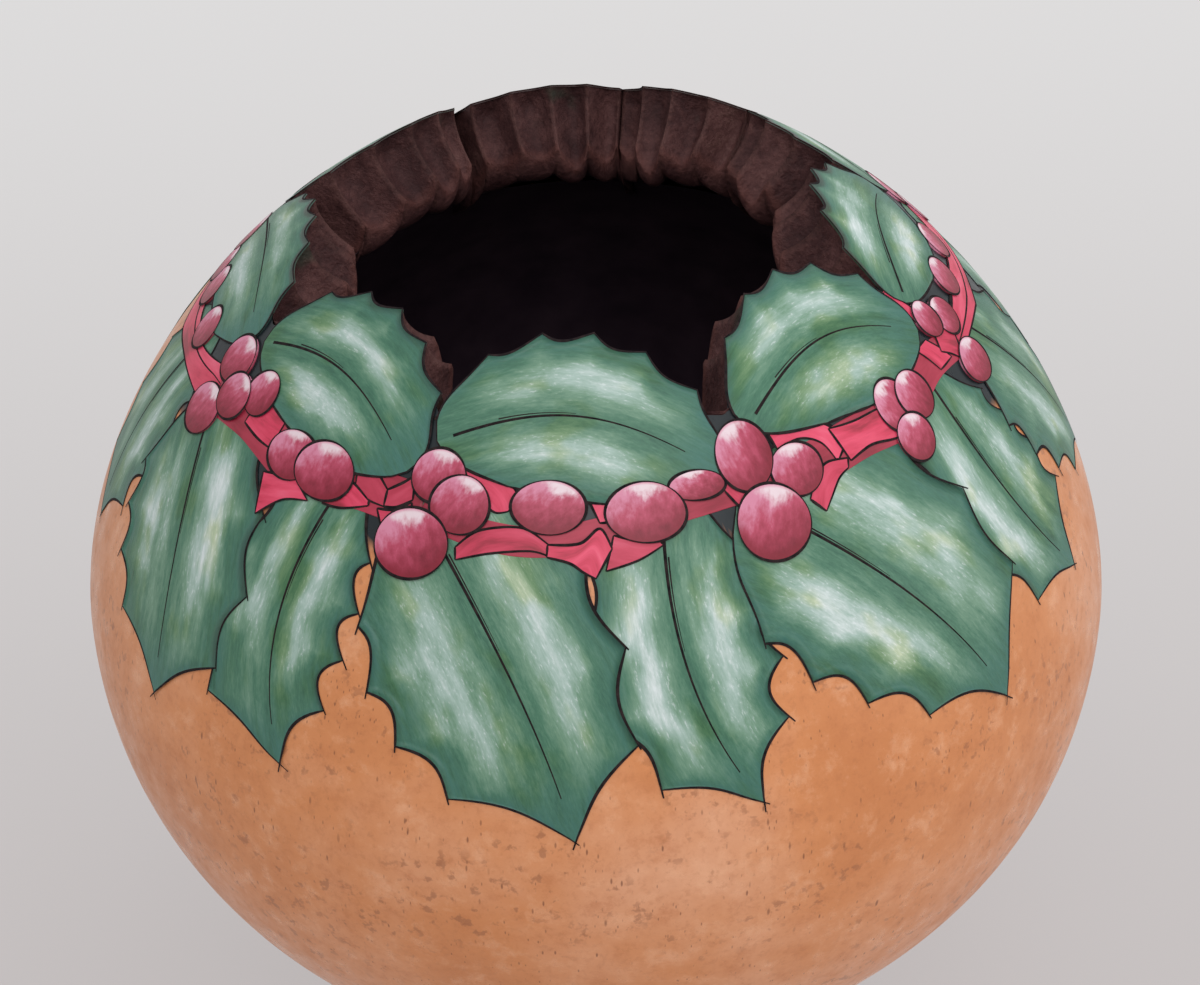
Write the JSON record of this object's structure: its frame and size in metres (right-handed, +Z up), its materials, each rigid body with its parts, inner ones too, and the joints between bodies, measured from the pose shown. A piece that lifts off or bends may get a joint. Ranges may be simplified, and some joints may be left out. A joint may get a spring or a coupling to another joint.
{
  "type": "decorative gourd",
  "caption": "Round hard-shell gourd vessel with a flat foot, a scalloped carved mouth, and a painted garland of holly leaves and red berries round the shoulder.",
  "frame": {"origin": "middle of the flat foot, at its resting face", "axes": "+Z up through the mouth; -Y is the front, the side that the picture faces; +X to the right in the picture"},
  "size_m": [0.19, 0.19, 0.1657],
  "materials": {
    "carved_wall": "matt dark brown paint over the corky wall",
    "natural_skin": "natural hard gourd skin under a satin varnish",
    "black_coat": "matt black paint over the corky wall",
    "leaf_paint": "green dry-brushed paint on the skin under a satin varnish",
    "berry_paint": "red and pink dry-brushed paint on the skin under a satin varnish",
    "ribbon_paint": "red dry-brushed paint on the skin under a satin varnish"
  },
  "bodies": {
    "root": {"inner_wall": "carved_wall", "inner_lining": "black_coat", "rind": "natural_skin", "berries_1": "berry_paint", "berries_2": "berry_paint", "berries_3": "berry_paint", "berries_4": "berry_paint", "berries_5": "berry_paint", "berries_6": "berry_paint", "berries_7": "berry_paint", "berries_8": "berry_paint", "berries_9": "berry_paint", "berries_10": "berry_paint", "berries_11": "berry_paint", "berries_12": "berry_paint", "berries_13": "berry_paint", "berries_14": "berry_paint", "berries_15": "berry_paint", "berries_16": "berry_paint", "berries_17": "berry_paint", "berries_18": "berry_paint", "berries_19": "berry_paint", "berries_20": "berry_paint", "berries_21": "berry_paint", "leaf_upper_1": "leaf_paint", "leaf_upper_2": "leaf_paint", "leaf_upper_3": "leaf_paint", "leaf_upper_4": "leaf_paint", "leaf_upper_5": "leaf_paint", "leaf_upper_6": "leaf_paint", "leaf_upper_7": "leaf_paint", "leaf_upper_8": "leaf_paint", "leaf_upper_9": "leaf_paint", "leaf_lower_1": "leaf_paint", "leaf_lower_2": "leaf_paint", "leaf_lower_3": "leaf_paint", "leaf_lower_4": "leaf_paint", "leaf_lower_5": "leaf_paint", "leaf_lower_6": "leaf_paint", "leaf_lower_7": "leaf_paint", "leaf_lower_8": "leaf_paint", "leaf_lower_9": "leaf_paint", "leaf_lower_10": "leaf_paint", "leaf_lower_11": "leaf_paint", "leaf_lower_12": "leaf_paint", "leaf_lower_13": "leaf_paint", "leaf_lower_14": "leaf_paint", "ribbon_1": "ribbon_paint", "ribbon_2": "ribbon_paint", "ribbon_3": "ribbon_paint", "ribbon_4": "ribbon_paint", "ribbon_5": "ribbon_paint", "ribbon_6": "ribbon_paint", "ribbon_7": "ribbon_paint", "ribbon_8": "ribbon_paint", "ribbon_9": "ribbon_paint", "ribbon_10": "ribbon_paint", "ribbon_11": "ribbon_paint", "ribbon_12": "ribbon_paint", "ribbon_13": "ribbon_paint"}
  },
  "joints": []
}
